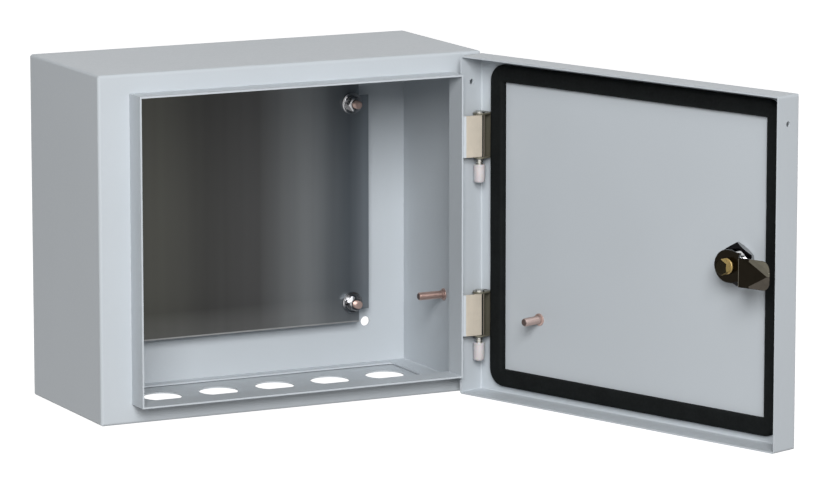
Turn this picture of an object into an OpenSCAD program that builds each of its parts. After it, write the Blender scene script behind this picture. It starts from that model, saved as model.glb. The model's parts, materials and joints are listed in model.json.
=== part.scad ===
// Small steel wall enclosure with a hinged, gasketed door and a quarter-turn lock.
// Millimetres. +Z is up, +Y points into the wall, and the door is on the -Y side.
// The origin is the middle of the wall face, where the cabinet is screwed to the wall.

/* [Cabinet] */
// Outside width of the cabinet
cabinet_w = 300; // [260:5:360]
// Outside height of the cabinet
cabinet_h = 250; // [230:5:320]
// Depth of the cabinet from the wall to its front frame
cabinet_d = 125; // [110:5:200]
// Thickness of the cabinet and door sheet
sheet = 1.2; // [1:0.1:1.5]
// Outside radius of the sheet's folds
fold_r = 2; // [1.6:0.1:2.5]
// Width of the front frame at the sides
frame_side = 23.7; // [23:0.1:25]
// Width of the front frame at the top and bottom
frame_end = 14.1; // [13:0.1:15]
// How far the rain lip stands out from the front frame
lip_out = 19; // [17:0.1:19]
// Distance between the wall holes, across
wall_hole_span = 233; // [230:1:236]
// Distance between the wall holes, up and down
wall_hole_rise = 185; // [184:1:190]
// Diameter of the wall holes
wall_hole_d = 7; // [6:0.5:7]

/* [Door] */
// Gap left around the door on each side, so that it stays inside the cabinet's outline
door_margin = 1; // [0.5:0.1:1.5]
// Depth of the door pan
door_depth = 22.5; // [22:0.1:23]
// Gap between the door's flange and the front frame when shut
door_standoff = 2.5; // [2:0.1:3]
// How far the door stands open
open_angle = 109.5; // [0:0.5:120]
// Width of the door gasket
gasket_w = 13; // [11:0.5:13]
// Height of the door gasket
gasket_h = 4.5; // [3:0.1:4.5]
// Diameter of the small hanging holes in the door's side flanges
hang_hole_d = 4; // [3:0.5:5]

/* [Hinges] */
// Distance of the pin axis from the cabinet's side
hinge_inset = 8.5; // [8.4:0.1:9]
// Distance of the pin axis in front of the front frame
hinge_out = 14.8; // [14.8:0.1:15]
// Distance between the middles of the two hinges
hinge_span = 131; // [110:1:140]
// Height of the knuckle
knuckle_h = 30.4; // [24:0.2:34]
// Radius of the hinge pin
pin_r = 2.6; // [2.2:0.05:2.6]

/* [Mounting plate] */
// Width of the mounting plate
plate_w = 228; // [224:1:230]
// Height of the mounting plate
plate_h = 180; // [178:1:182]
// Thickness of the mounting plate
plate_t = 1.5; // [1.5:0.1:2]
// Distance between the plate's studs, across
stud_span = 200; // [190:1:204]
// Distance between the plate's studs, up and down
stud_rise = 150; // [140:1:154]
// Length of the plate's studs from the back panel
stud_len = 24.8; // [24:0.1:30]
// Clear depth behind the mounting plate
plate_gap = 10; // [8:0.5:12]

/* [Cable entry] */
// Number of cable holes
gland_count = 6; // [4:1:6]
// Distance between the cable holes
gland_pitch = 45; // [40:1:45]
// Diameter of the cable holes
gland_hole_d = 29; // [22:1:32]
// Width of the cut-out in the cabinet's floor
cutout_w = 268; // [264:1:270]
// Depth of the cut-out in the cabinet's floor
cutout_d = 63; // [50:1:66]

/* [Lock] */
// Distance of the lock axis from the middle of the door
lock_x = 98.3; // [96:0.1:100]
// Diameter of the lock's threaded barrel
barrel_d = 22; // [20:0.5:22]
// Length of the cam from the lock axis to its tip
cam_reach = 48.3; // [40:0.1:48.3]
// Width of the cam's arm
cam_w = 20.5; // [14:0.5:22]

/* [Hidden] */

$fn = 48;
// Small overshoot that keeps a cut's face off the face it cuts
over = 0.5;
// Clearance round a pin in its bore
fit = 0.05;

// The cabinet's front face, and the planes of the shut door
front_y = -cabinet_d;
door_back_y = front_y - door_standoff;
door_face_y = door_back_y - door_depth;
door_inner_y = door_face_y + sheet;
door_w = cabinet_w - 2 * door_margin;
door_h = cabinet_h - 2 * door_margin;

// The front opening, inside the rain lip
lip_w = cabinet_w - 2 * frame_side;
lip_h = cabinet_h - 2 * frame_end;
wall_y = -sheet;

// The gasket's centre line lies over the rain lip
gasket_x = lip_w / 2 + 3.7;
gasket_z = lip_h / 2 + 0.7;
gasket_corner_r = gasket_w / 2 + 0.1;
gasket_edge_r = 2.6;

// Hinge leaf
pin_x = cabinet_w / 2 - hinge_inset;
pin_y = front_y - hinge_out;
leaf_t = 1.4;
knuckle_bore_r = pin_r + fit;
knuckle_r = knuckle_bore_r + leaf_t;
leaf_bend_r = 2.5;
leaf_tab = 3;
ear_t = 1.2;
ear_gap = 0.15;
ear_r = 4.9;
door_leaf_w = 10.2;
pin_head_r = 4;
pin_head_t = 1.6;
ring_r = 3.6;
ring_t = 0.8;
pin_neck_len = 4.6;
cap_r = 4.1;
cap_len = 13.4;
cap_nose_r = 1.6;

// Plate fixings, M6
stud_r = 3;
stud_flange_r = 4.5;
stud_flange_t = 1;
stud_tip = 0.8;
spacer_r = 6;
washer_r = 8;
washer_t = 1.6;
spring_washer_r = 5.6;
spring_washer_t = 1.6;
spring_washer_slit = 1;
nut_af = 10;
nut_t = 5;
plate_hole_r = 3.5;
notch_w = 8;
notch_h = 9.5;
plate_front_y = wall_y - plate_gap - plate_t;

// Earth studs, M6
earth_stud_y = front_y + 57;
earth_stud_z = -63.7;
earth_stud_len = 21;
door_stud_x = 90.4;
door_stud_z = -64.4;
door_stud_len = 16.4;

// Cable entry: the plate hangs under the floor on small weld studs
floor_z = -cabinet_h / 2;
gland_y = front_y + 82.5;
gland_plate_t = 1;
gland_gasket_t = 0.5;
gland_margin = 9.5;
gland_gasket_set_back = 2;
gland_stud_r = 2;
gland_stud_len = 5.7;
gland_stud_inset = 4.7;
gland_end_inset = 23.5;
gland_nut_af = 7;
gland_nut_t = 3.2;
gland_stud_columns = 4;
gland_plate_w = cutout_w + 2 * gland_margin;
gland_plate_d = cutout_d + 2 * gland_margin;
cutout_corner_r = 3;

// Lock, measured from the door's inner face towards the cabinet
lock_axis_x = -lock_x;
barrel_flat = 20;
barrel_out = 12;
escutcheon_r = 15;
escutcheon_t = 3.6;
lock_seal_t = 0.5;
key_well_r = 8.5;
key_well_depth = 2.4;
core_r = 7;
core_square = 8;
key_pin_r = 2;
key_bit_w = 1.8;
key_bit_span = 9;
lock_nut_af = 27;
lock_nut_t = 4.7;
cam_t = 2;
cam_root_r = 11.6;
cam_root_back = 11.3;
cam_arm_start = 21.7;
// The cam's arm passes just behind the front frame when the door is shut
cam_arm_out = door_depth + door_standoff + 0.4;
cam_screw_r = 3;
cam_screw_af = 10;
cam_screw_head = 5.8;
cam_washer_r = 5.6;
cam_washer_t = 1.2;

// ---- helpers ----

// A rectangle with rounded corners, centred
module rounded_rect(w, h, r) {
    square([w - 2 * r, h], center = true);
    square([w, h - 2 * r], center = true);
    for (x = [-1, 1], y = [-1, 1])
        translate([x * (w / 2 - r), y * (h / 2 - r)])
            circle(r);
}

// A rectangle from y = 0 to y = d whose two corners at y = 0 are rounded
module nosed_rect(w, d, r) {
    translate([-w / 2, r])
        square([w, d - r]);
    translate([-w / 2 + r, 0])
        square([w - 2 * r, d]);
    for (x = [-1, 1])
        translate([x * (w / 2 - r), r])
            circle(r);
}

// Extrudes a child drawn in X and Z along +Y, from y to y + d
module along_y(y, d) {
    translate([0, y + d, 0])
        rotate([90, 0, 0])
            linear_extrude(d)
                children();
}

// A box from y to y + d, rounded along its four long edges and round its front face
module pan_block(w, h, y, d, r) {
    intersection() {
        along_y(y, d)
            rounded_rect(w, h, r);
        translate([0, y, -h / 2])
            linear_extrude(h)
                nosed_rect(w, d, r);
        translate([-w / 2, y, 0])
            rotate([90, 0, 90])
                linear_extrude(w)
                    rotate(-90)
                        nosed_rect(h, d, r);
    }
}

// Carries the shut door's parts to where the open door stands
module on_door() {
    translate([pin_x, pin_y, 0])
        rotate([0, 0, open_angle])
            translate([-pin_x, -pin_y, 0])
                children();
}

// Puts children on the lock axis, with +Z pointing from the door's inner face to the cabinet
module on_lock_axis() {
    on_door()
        translate([lock_axis_x, door_inner_y, 0])
            rotate([-90, 0, 0])
                children();
}

// A cylinder from z = 0 with a chamfered far end
module stud(r, len, tip) {
    cylinder(r = r, h = len - tip);
    translate([0, 0, len - tip])
        cylinder(r1 = r, r2 = r - tip, h = tip);
}

// A weld stud with its flange, standing up from z = 0
module weld_stud(len) {
    stud(stud_r, len, stud_tip);
    cylinder(r = stud_flange_r, h = stud_flange_t);
}

// A hexagon prism with chamfered corners, standing up from z = 0
module hex_prism(af, t) {
    corner_r = af / 2 / cos(30);
    chamfer = corner_r - af / 2;
    intersection() {
        cylinder(r = corner_r, h = t, $fn = 6);
        union() {
            cylinder(r = corner_r, h = t - chamfer / 2);
            translate([0, 0, t - chamfer / 2])
                cylinder(r1 = corner_r, r2 = af / 2 * 0.97, h = chamfer / 2);
        }
    }
}

module hex_nut(af, t, bore_r) {
    difference() {
        hex_prism(af, t);
        translate([0, 0, -over])
            cylinder(r = bore_r, h = t + 2 * over);
    }
}

module ring(r, bore_r, t) {
    difference() {
        cylinder(r = r, h = t);
        translate([0, 0, -over])
            cylinder(r = bore_r, h = t + 2 * over);
    }
}

// Children at the four mounting plate studs, with +Z pointing out of the back panel
module at_plate_studs(y) {
    for (x = [-1, 1], z = [-1, 1])
        translate([x * stud_span / 2, y, z * stud_rise / 2])
            rotate([90, 0, 0])
                children();
}

// Children at the cable plate's studs, at the height z
module at_gland_studs(z) {
    column_span = gland_plate_w - 2 * gland_end_inset;
    for (i = [0:gland_stud_columns - 1], y = [-1, 1])
        translate([
            column_span * (i / (gland_stud_columns - 1) - 0.5),
            gland_y + y * (gland_plate_d / 2 - gland_stud_inset),
            z
        ])
            children();
}

// ---- cabinet ----

// Wrapper, front frame and rain lip, folded and welded from one sheet
module cabinet_shell() {
    color("#c3c9d0")
        difference() {
            union() {
                difference() {
                    pan_block(cabinet_w, cabinet_h, front_y, cabinet_d, fold_r);
                    pan_block(cabinet_w - 2 * sheet, cabinet_h - 2 * sheet, front_y + sheet,
                        cabinet_d, fold_r - sheet);
                }
                along_y(front_y - lip_out, lip_out + sheet)
                    square([lip_w, lip_h], center = true);
            }
            along_y(front_y - lip_out - over, lip_out + sheet + 2 * over)
                square([lip_w - 2 * sheet, lip_h - 2 * sheet], center = true);
            translate([0, gland_y, floor_z - over])
                linear_extrude(sheet + 2 * over)
                    rounded_rect(cutout_w, cutout_d, cutout_corner_r);
        }
}

module back_panel() {
    color("#c3c9d0")
        difference() {
            along_y(-sheet, sheet)
                rounded_rect(cabinet_w - 2 * sheet, cabinet_h - 2 * sheet, fold_r - sheet);
            for (x = [-1, 1], z = [-1, 1])
                translate([x * wall_hole_span / 2, over, z * wall_hole_rise / 2])
                    rotate([90, 0, 0])
                        cylinder(d = wall_hole_d, h = sheet + 2 * over);
        }
}

// ---- mounting plate ----

module mounting_plate() {
    color("#70757a")
        difference() {
            along_y(plate_front_y, plate_t)
                square([plate_w, plate_h], center = true);
            for (x = [-1, 1], z = [-1, 1])
                translate([x * plate_w / 2, plate_front_y + plate_t / 2, z * plate_h / 2])
                    cube([2 * notch_w, 2 * plate_t, 2 * notch_h], center = true);
            at_plate_studs(plate_front_y + plate_t + over)
                cylinder(r = plate_hole_r, h = plate_t + 2 * over);
        }
}

module plate_studs() {
    color("#b08d80")
        at_plate_studs(wall_y)
            weld_stud(stud_len);
}

// Tubes that hold the plate off the back panel, relieved for the studs' weld flanges
module plate_spacers() {
    color("#b9bcc0")
        at_plate_studs(wall_y)
            difference() {
                ring(spacer_r, stud_r + fit, plate_gap);
                translate([0, 0, -over])
                    cylinder(r = stud_flange_r + fit, h = stud_flange_t + fit + over);
            }
}

module plate_washers() {
    color("#d8dadc")
        at_plate_studs(plate_front_y)
            ring(washer_r, stud_r + 2 * fit, washer_t);
}

module plate_spring_washers() {
    color("#c8cacc")
        at_plate_studs(plate_front_y - washer_t)
            difference() {
                ring(spring_washer_r, stud_r + 2 * fit, spring_washer_t);
                translate([0, -spring_washer_slit / 2, -over])
                    cube([2 * spring_washer_r, spring_washer_slit, spring_washer_t + 2 * over]);
            }
}

module plate_nuts() {
    color("#d8dadc")
        at_plate_studs(plate_front_y - washer_t - spring_washer_t)
            hex_nut(nut_af, nut_t, stud_r + fit);
}

module cabinet_earth_stud() {
    color("#b08d80")
        translate([cabinet_w / 2 - sheet, earth_stud_y, earth_stud_z])
            rotate([0, -90, 0])
                weld_stud(earth_stud_len);
}

// ---- cable entry ----

module gland_plate() {
    color("#bcc2ca")
        difference() {
            translate([0, gland_y, floor_z - gland_gasket_t - gland_plate_t])
                linear_extrude(gland_plate_t)
                    rounded_rect(gland_plate_w, gland_plate_d, cutout_corner_r);
            for (i = [0:gland_count - 1])
                translate([
                    gland_pitch * (i - (gland_count - 1) / 2),
                    gland_y,
                    floor_z - gland_gasket_t - gland_plate_t - over
                ])
                    cylinder(d = gland_hole_d, h = gland_plate_t + 2 * over, $fn = 96);
            at_gland_studs(floor_z - gland_gasket_t - gland_plate_t - over)
                cylinder(r = gland_stud_r + 4 * fit, h = gland_plate_t + 2 * over);
        }
}

module gland_gasket() {
    color("#2a2c2e")
        difference() {
            translate([0, gland_y, floor_z - gland_gasket_t])
                linear_extrude(gland_gasket_t)
                    difference() {
                        rounded_rect(gland_plate_w, gland_plate_d, cutout_corner_r);
                        rounded_rect(cutout_w + 2 * gland_gasket_set_back,
                            cutout_d + 2 * gland_gasket_set_back, cutout_corner_r);
                    }
            at_gland_studs(floor_z - gland_gasket_t - over)
                cylinder(r = gland_stud_r + 4 * fit, h = gland_gasket_t + 2 * over);
        }
}

module gland_studs() {
    color("#b08d80")
        at_gland_studs(floor_z)
            mirror([0, 0, 1])
                stud(gland_stud_r, gland_stud_len, stud_tip);
}

module gland_nuts() {
    color("#d8dadc")
        at_gland_studs(floor_z - gland_gasket_t - gland_plate_t)
            mirror([0, 0, 1])
                hex_nut(gland_nut_af, gland_nut_t, gland_stud_r + fit);
}

// ---- hinges ----

// The rolled leaf: a tab welded to the rain lip, a flat front, and the knuckle round the pin
module frame_leaf(z) {
    tab_x = lip_w / 2;
    leaf_face_y = pin_y - knuckle_r;
    color("#cbc2b2")
        translate([0, 0, z - knuckle_h / 2])
            linear_extrude(knuckle_h)
                difference() {
                    union() {
                        translate([pin_x, pin_y])
                            circle(knuckle_r);
                        translate([tab_x + leaf_bend_r, leaf_face_y])
                            square([pin_x - tab_x - leaf_bend_r, leaf_t]);
                        intersection() {
                            translate([tab_x, leaf_face_y])
                                square(leaf_bend_r);
                            translate([tab_x + leaf_bend_r, leaf_face_y + leaf_bend_r])
                                difference() {
                                    circle(leaf_bend_r);
                                    circle(leaf_bend_r - leaf_t);
                                }
                        }
                        translate([tab_x, leaf_face_y + leaf_bend_r])
                            square([leaf_t, leaf_tab - leaf_bend_r]);
                    }
                    translate([pin_x, pin_y])
                        circle(knuckle_bore_r);
                }
}

// The bracket on the door: a flat base and two ears that hold the pin above and below the knuckle
module door_leaf(z) {
    base_h = knuckle_h + 2 * (ear_gap + ear_t);
    color("#8f8a7a")
        on_door() {
            difference() {
                union() {
                    translate([pin_x - ear_r, door_inner_y, z - base_h / 2])
                        cube([door_leaf_w, leaf_t, base_h]);
                    for (side = [-1, 1])
                        translate([pin_x, pin_y, z + side * (base_h - ear_t) / 2 - ear_t / 2]) {
                            cylinder(r = ear_r, h = ear_t);
                            translate([-ear_r, door_inner_y - pin_y, 0])
                                cube([2 * ear_r, pin_y - door_inner_y, ear_t]);
                        }
                }
                translate([pin_x, pin_y, z - base_h / 2 - over])
                    cylinder(r = knuckle_bore_r, h = base_h + 2 * over);
            }
        }
}

// The pin drops in from above: a low head, a shank, and a grooved end below the lower ear
module hinge_pin(z) {
    top = z + knuckle_h / 2 + ear_gap + ear_t;
    ear_bottom = z - knuckle_h / 2 - ear_gap - ear_t;
    end = ear_bottom - pin_neck_len - cap_len + cap_nose_r + 1;
    color("#b8b6ae")
        on_door()
            translate([pin_x, pin_y, 0])
                difference() {
                    union() {
                        translate([0, 0, end])
                            cylinder(r = pin_r, h = top - end);
                        translate([0, 0, top])
                            cylinder(r1 = pin_head_r, r2 = pin_head_r - 0.6, h = pin_head_t);
                    }
                    translate([0, 0, ear_bottom - ring_t - fit])
                        ring(pin_r + over, pin_r - 0.5, ring_t + fit);
                    translate([0, 0, ear_bottom - pin_neck_len + 1])
                        ring(pin_r + over, pin_r - 0.5, ring_t);
                }
}

module pin_snap_rings() {
    color("#6a6a66")
        on_door()
            for (side = [-1, 1])
                translate([
                    pin_x,
                    pin_y,
                    side * hinge_span / 2 - knuckle_h / 2 - ear_gap - ear_t - ring_t
                ])
                    difference() {
                        ring(ring_r, pin_r - 0.5 + fit, ring_t);
                        translate([0, -0.8, -over])
                            cube([ring_r + over, 1.6, ring_t + 2 * over]);
                    }
}

// White plastic caps pressed on the pins' lower ends
module pin_caps() {
    neck_z = knuckle_h / 2 + ear_gap + ear_t + pin_neck_len;
    color("#e6e0e0")
        on_door()
            for (side = [-1, 1])
                translate([pin_x, pin_y, side * hinge_span / 2 - neck_z - cap_len])
                    difference() {
                        rotate_extrude()
                            intersection() {
                                union() {
                                    square([cap_r - cap_nose_r, cap_len]);
                                    translate([0, cap_nose_r])
                                        square([cap_r, cap_len - cap_nose_r]);
                                    translate([cap_r - cap_nose_r, cap_nose_r])
                                        circle(cap_nose_r);
                                }
                                square([cap_r, cap_len]);
                            }
                        translate([0, 0, cap_nose_r + 1])
                            cylinder(r = pin_r + fit, h = cap_len);
                    }
}

// ---- door ----

module door_panel() {
    hang_z = door_h / 2 - 20;
    hang_y = door_face_y + 12;
    color("#c3c9d0")
        on_door()
            difference() {
                pan_block(door_w, door_h, door_face_y, door_depth, fold_r);
                pan_block(door_w - 2 * sheet, door_h - 2 * sheet, door_inner_y,
                    door_depth, fold_r - sheet);
                translate([lock_axis_x, door_face_y - over, 0])
                    rotate([-90, 0, 0])
                        barrel_outline(fit, sheet + 2 * over);
                translate([-door_w / 2 - over, hang_y, hang_z])
                    rotate([0, 90, 0])
                        cylinder(d = hang_hole_d, h = door_w + 2 * over);
            }
}

// Section of the foamed gasket: a flat-topped D standing on y = 0
module gasket_section() {
    intersection() {
        translate([-gasket_w / 2, 0])
            square([gasket_w, gasket_h]);
        union() {
            translate([-gasket_w / 2, 0])
                square([gasket_w, gasket_h - gasket_edge_r]);
            translate([-gasket_w / 2 + gasket_edge_r, 0])
                square([gasket_w - 2 * gasket_edge_r, gasket_h]);
            for (side = [-1, 1])
                translate([side * (gasket_w / 2 - gasket_edge_r), gasket_h - gasket_edge_r])
                    circle(gasket_edge_r);
        }
    }
}

module gasket_side(run, x) {
    translate([x, -run / 2, 0])
        rotate([90, 0, 180])
            linear_extrude(run)
                gasket_section();
}

module door_gasket() {
    run_x = 2 * (gasket_x - gasket_corner_r);
    run_z = 2 * (gasket_z - gasket_corner_r);
    color("#1b1d1f")
        on_door()
            translate([0, door_inner_y, 0])
                rotate([-90, 0, 0]) {
                    for (turn = [0, 180])
                        rotate(turn) {
                            gasket_side(run_z, gasket_x);
                            rotate(90)
                                gasket_side(run_x, gasket_z);
                        }
                    for (x = [-1, 1], z = [-1, 1])
                        translate([x * run_x / 2, z * run_z / 2, 0])
                            mirror([x < 0 ? 1 : 0, 0, 0])
                                mirror([0, z < 0 ? 1 : 0, 0])
                                    rotate_extrude(angle = 90)
                                        translate([gasket_corner_r, 0])
                                            gasket_section();
                }
}

module door_earth_stud() {
    color("#b08d80")
        on_door()
            translate([door_stud_x, door_inner_y, door_stud_z])
                rotate([-90, 0, 0])
                    weld_stud(door_stud_len);
}

// ---- lock ----

// The barrel's round section with two flats that stop it turning in the door
module barrel_outline(gap, len) {
    intersection() {
        cylinder(d = barrel_d + 2 * gap, h = len);
        translate([-barrel_d, -barrel_flat / 2 - gap, 0])
            cube([2 * barrel_d, barrel_flat + 2 * gap, len]);
    }
}

module lock_housing() {
    face_z = -sheet - lock_seal_t - escutcheon_t;
    color("#c9cbcd")
        on_lock_axis()
            difference() {
                union() {
                    translate([0, 0, face_z])
                        cylinder(r1 = escutcheon_r - 1.5, r2 = escutcheon_r, h = 1.5);
                    translate([0, 0, face_z + 1.5])
                        cylinder(r = escutcheon_r, h = escutcheon_t - 1.5);
                    translate([0, 0, -sheet - lock_seal_t])
                        barrel_outline(0, sheet + lock_seal_t + barrel_out - fit);
                }
                translate([0, 0, face_z - over])
                    cylinder(r = key_well_r, h = key_well_depth + over);
                translate([0, 0, face_z])
                    cylinder(r = core_r + fit, h = escutcheon_t + sheet + lock_seal_t + barrel_out + over);
            }
}

module lock_seal() {
    color("#2a2c2e")
        on_lock_axis()
            translate([0, 0, -sheet - lock_seal_t])
                difference() {
                    cylinder(r = escutcheon_r - 0.5, h = lock_seal_t);
                    translate([0, 0, -over])
                        barrel_outline(fit, lock_seal_t + 2 * over);
                }
}

module lock_nut() {
    color("#d8dadc")
        on_lock_axis()
            rotate(90)
                hex_nut(lock_nut_af, lock_nut_t, barrel_d / 2 + fit);
}

// The part that the key turns: a double-bit key pin outside and a square for the cam inside
module lock_core() {
    face_z = -sheet - lock_seal_t - escutcheon_t + key_well_depth;
    color("#b7b9bb")
        on_lock_axis()
            difference() {
                union() {
                    translate([0, 0, face_z])
                        cylinder(r = core_r, h = barrel_out - face_z);
                    translate([-core_square / 2, -core_square / 2, barrel_out])
                        cube([core_square, core_square, cam_t]);
                }
                translate([0, 0, face_z - over])
                    difference() {
                        cylinder(r = core_r - 1.4, h = 6 + over);
                        cylinder(r = key_pin_r, h = 6 + over);
                        translate([-key_bit_span / 2, -key_bit_w / 2, 0])
                            cube([key_bit_span, key_bit_w, 6 + over]);
                    }
                translate([0, 0, barrel_out - 8])
                    cylinder(r = cam_screw_r + fit, h = 8 + cam_t + over);
            }
}

// Cranked steel cam: its root sits on the core's square, and its arm reaches behind the frame
module lock_cam() {
    slope_start = cam_root_r - 0.6;
    color("#3c3a34")
        on_lock_axis()
            difference() {
                intersection() {
                    translate([0, cam_root_r, 0])
                        rotate([90, 0, 0])
                            linear_extrude(2 * cam_root_r)
                                polygon([
                                    [cam_root_r, barrel_out],
                                    [cam_root_r, barrel_out + cam_t],
                                    [-slope_start + 0.6, barrel_out + cam_t],
                                    [-cam_arm_start, cam_arm_out + cam_t],
                                    [-cam_reach, cam_arm_out + cam_t],
                                    [-cam_reach, cam_arm_out],
                                    [-cam_arm_start - 1, cam_arm_out],
                                    [-slope_start - 0.4, barrel_out]
                                ]);
                    linear_extrude(cam_arm_out + 2 * cam_t)
                        cam_outline();
                }
                translate([-core_square / 2 - fit, -core_square / 2 - fit, barrel_out - over])
                    cube([core_square + 2 * fit, core_square + 2 * fit, cam_t + 2 * over]);
            }
}

// The cam seen along the lock axis: round root, straight arm, and a tip rounded about the axis
module cam_outline() {
    intersection() {
        union() {
            circle(cam_root_r, $fn = 96);
            translate([-cam_reach, -cam_w / 2])
                square([cam_reach, cam_w]);
        }
        circle(cam_reach, $fn = 180);
        translate([-cam_reach / 2 + 3, 0])
            rounded_rect(cam_reach + 20, 2 * cam_root_r, 6);
    }
}

module cam_spring_washer() {
    color("#c8cacc")
        on_lock_axis()
            translate([0, 0, barrel_out + cam_t])
                difference() {
                    ring(cam_washer_r, cam_screw_r + 2 * fit, cam_washer_t);
                    translate([0, -spring_washer_slit / 2, -over])
                        cube([2 * cam_washer_r, spring_washer_slit, cam_washer_t + 2 * over]);
                }
}

module cam_screw() {
    color("#bea050")
        on_lock_axis() {
            translate([0, 0, barrel_out + cam_t + cam_washer_t])
                rotate(90)
                    hex_prism(cam_screw_af, cam_screw_head);
            translate([0, 0, barrel_out - 7])
                cylinder(r = cam_screw_r, h = 7 + cam_t + cam_washer_t);
        }
}

// ---- nodes ----

cabinet_shell();
back_panel();
mounting_plate();
plate_studs();
plate_spacers();
plate_washers();
plate_spring_washers();
plate_nuts();
cabinet_earth_stud();
gland_plate();
gland_gasket();
gland_studs();
gland_nuts();
frame_leaf(hinge_span / 2);  // upper_hinge_frame_leaf
frame_leaf(-hinge_span / 2);  // lower_hinge_frame_leaf
door_panel();
door_gasket();
door_earth_stud();
door_leaf(hinge_span / 2);  // upper_hinge_door_leaf
door_leaf(-hinge_span / 2);  // lower_hinge_door_leaf
hinge_pin(hinge_span / 2);  // upper_hinge_pin
hinge_pin(-hinge_span / 2);  // lower_hinge_pin
pin_snap_rings();
pin_caps();
lock_housing();
lock_seal();
lock_nut();
lock_core();
lock_cam();
cam_spring_washer();
cam_screw();
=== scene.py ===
"""Looks for the steel wall enclosure: pieces, materials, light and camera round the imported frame.

Everything is in metres in the row frame. Sizes below are in millimetres and pass through MM.
Door pieces are made as if the door were shut and carried to the open door by DOOR.
"""

import json
import math

import bmesh
import bpy
from mathutils import Matrix, Vector, noise


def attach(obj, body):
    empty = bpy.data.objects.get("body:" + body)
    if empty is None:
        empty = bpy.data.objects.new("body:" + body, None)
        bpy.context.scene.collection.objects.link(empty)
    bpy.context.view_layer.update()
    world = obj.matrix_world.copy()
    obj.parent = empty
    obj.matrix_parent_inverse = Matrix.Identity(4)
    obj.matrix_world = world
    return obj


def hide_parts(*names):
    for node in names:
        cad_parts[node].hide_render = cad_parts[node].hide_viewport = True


MM = 0.001
TAU = 2 * math.pi

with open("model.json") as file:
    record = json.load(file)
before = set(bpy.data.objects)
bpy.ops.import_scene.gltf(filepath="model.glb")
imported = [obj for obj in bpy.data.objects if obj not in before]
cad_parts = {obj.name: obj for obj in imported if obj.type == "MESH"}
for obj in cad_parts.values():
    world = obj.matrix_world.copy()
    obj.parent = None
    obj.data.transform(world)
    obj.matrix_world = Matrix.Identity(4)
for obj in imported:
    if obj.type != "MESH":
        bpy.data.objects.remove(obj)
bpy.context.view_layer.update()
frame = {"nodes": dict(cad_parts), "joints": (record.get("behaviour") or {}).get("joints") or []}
NODES = frame["nodes"]

# ---- sizes in millimetres; where the CAD source has the same size, the two agree ----

SHEET = 1.2
CABINET_W = 300.0
FRONT_Y = -125.0
FLOOR_Z = -125.0
LIP_X = 126.3

DOOR_STANDOFF = 2.5
DOOR_DEPTH = 22.5
DOOR_INNER_Y = FRONT_Y - DOOR_STANDOFF - DOOR_DEPTH + SHEET

PIN_X = 141.5
PIN_Y = FRONT_Y - 14.8
PIN_R = 2.6
PIN_HEAD_R = 4.0
PIN_GROOVE = 0.45
HINGE_Z = 65.5
KNUCKLE_H = 30.4
KNUCKLE_R = 4.05
KNUCKLE_BORE_R = 2.65
LEAF_T = 1.4
LEAF_TAB = 3.0
LEAF_BEND = 2.5
EAR_GAP = 0.15
EAR_T = 1.2
EAR_R = 4.9
BRACKET_W = 10.2
RING_T = 0.8
NECK = 4.6
CAP_LEN = 13.4
CAP_R = 4.1
CAP_NOSE = 2.6

PLATE_W = 228.0
PLATE_H = 180.0
PLATE_GAP = 10.0
PLATE_T = 1.5
PLATE_FRONT_Y = -SHEET - PLATE_GAP - PLATE_T
STUD_X = 100.0
STUD_Z = 75.0

M6_R = 3.0
M6_BORE_R = 3.2
M6_STUD_LEN = 24.8
M6_NUT_AF = 10
M6_NUT_T = 5
WASHER_T = 1.6
COLLAR_R = 4.5

CABLE_ROW_Y = -42.5
GLAND_NUT_Z = 1.5
GLAND_STUD_R = 2.0
GLAND_STUD_LEN = 5.7
GLAND_STUD_SPAN = 240
GLAND_STUD_OUT = 36.3
GLAND_COLUMNS = 4

GASKET_X = 130.0
GASKET_Z = 111.6
GASKET_HALF_W = 6.5
GASKET_H = 4.5
GASKET_EDGE_R = 2.6
GASKET_CORNER_R = 6.6

LOCK_X = -98.3
SEAL_T = 0.5
BARREL_OUT = 12.0
BARREL_R = 11.0
BARREL_FLAT = 10.0
BARREL_BORE_R = 7.1
BARREL_BACK = -SHEET - SEAL_T
ESCUTCHEON_T = 3.6
FACE = BARREL_BACK - ESCUTCHEON_T
WELL = FACE + 2.4
CORE_R = 7.0
CAM_T = 2.0
CAM_REACH = 48.3
CAM_TIP_R = 6.0
CAM_WASHER_T = 1.2
CAM_SCREW_HEAD = 5.8

# Across the knuckle, the direction along which its painted shadow band and its bracket-coloured band
# lie
ACROSS = Vector((0.896, -0.444))

swing = next(j for j in frame["joints"] if j["name"] == "door_swing")
PIN = Vector(swing["pos_m"])
DOOR = (
    Matrix.Translation(PIN)
    @ Matrix.Rotation(math.radians(-swing["range_deg"][0]), 4, "Z")
    @ Matrix.Translation(-PIN)
)
# +Z from the door's inner face towards the cabinet, on the lock's axis
LOCK = (
    DOOR
    @ Matrix.Translation(Vector((LOCK_X, DOOR_INNER_Y, 0)) * MM)
    @ Matrix.Rotation(math.radians(-90), 4, "X")
)


# ---- mesh helpers ----


def at(x, y, z, turn=None):
    """A placement in the row frame, from millimetres; turn is a rotation matrix."""
    m = Matrix.Translation(Vector((x, y, z)) * MM)
    return m @ turn if turn else m


def rot(axis, degrees):
    return Matrix.Rotation(math.radians(degrees), 4, axis)


def circle(r, z, n):
    """n points round Z at height z."""
    return [(r * math.cos(TAU * i / n), r * math.sin(TAU * i / n), z) for i in range(n)]


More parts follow.
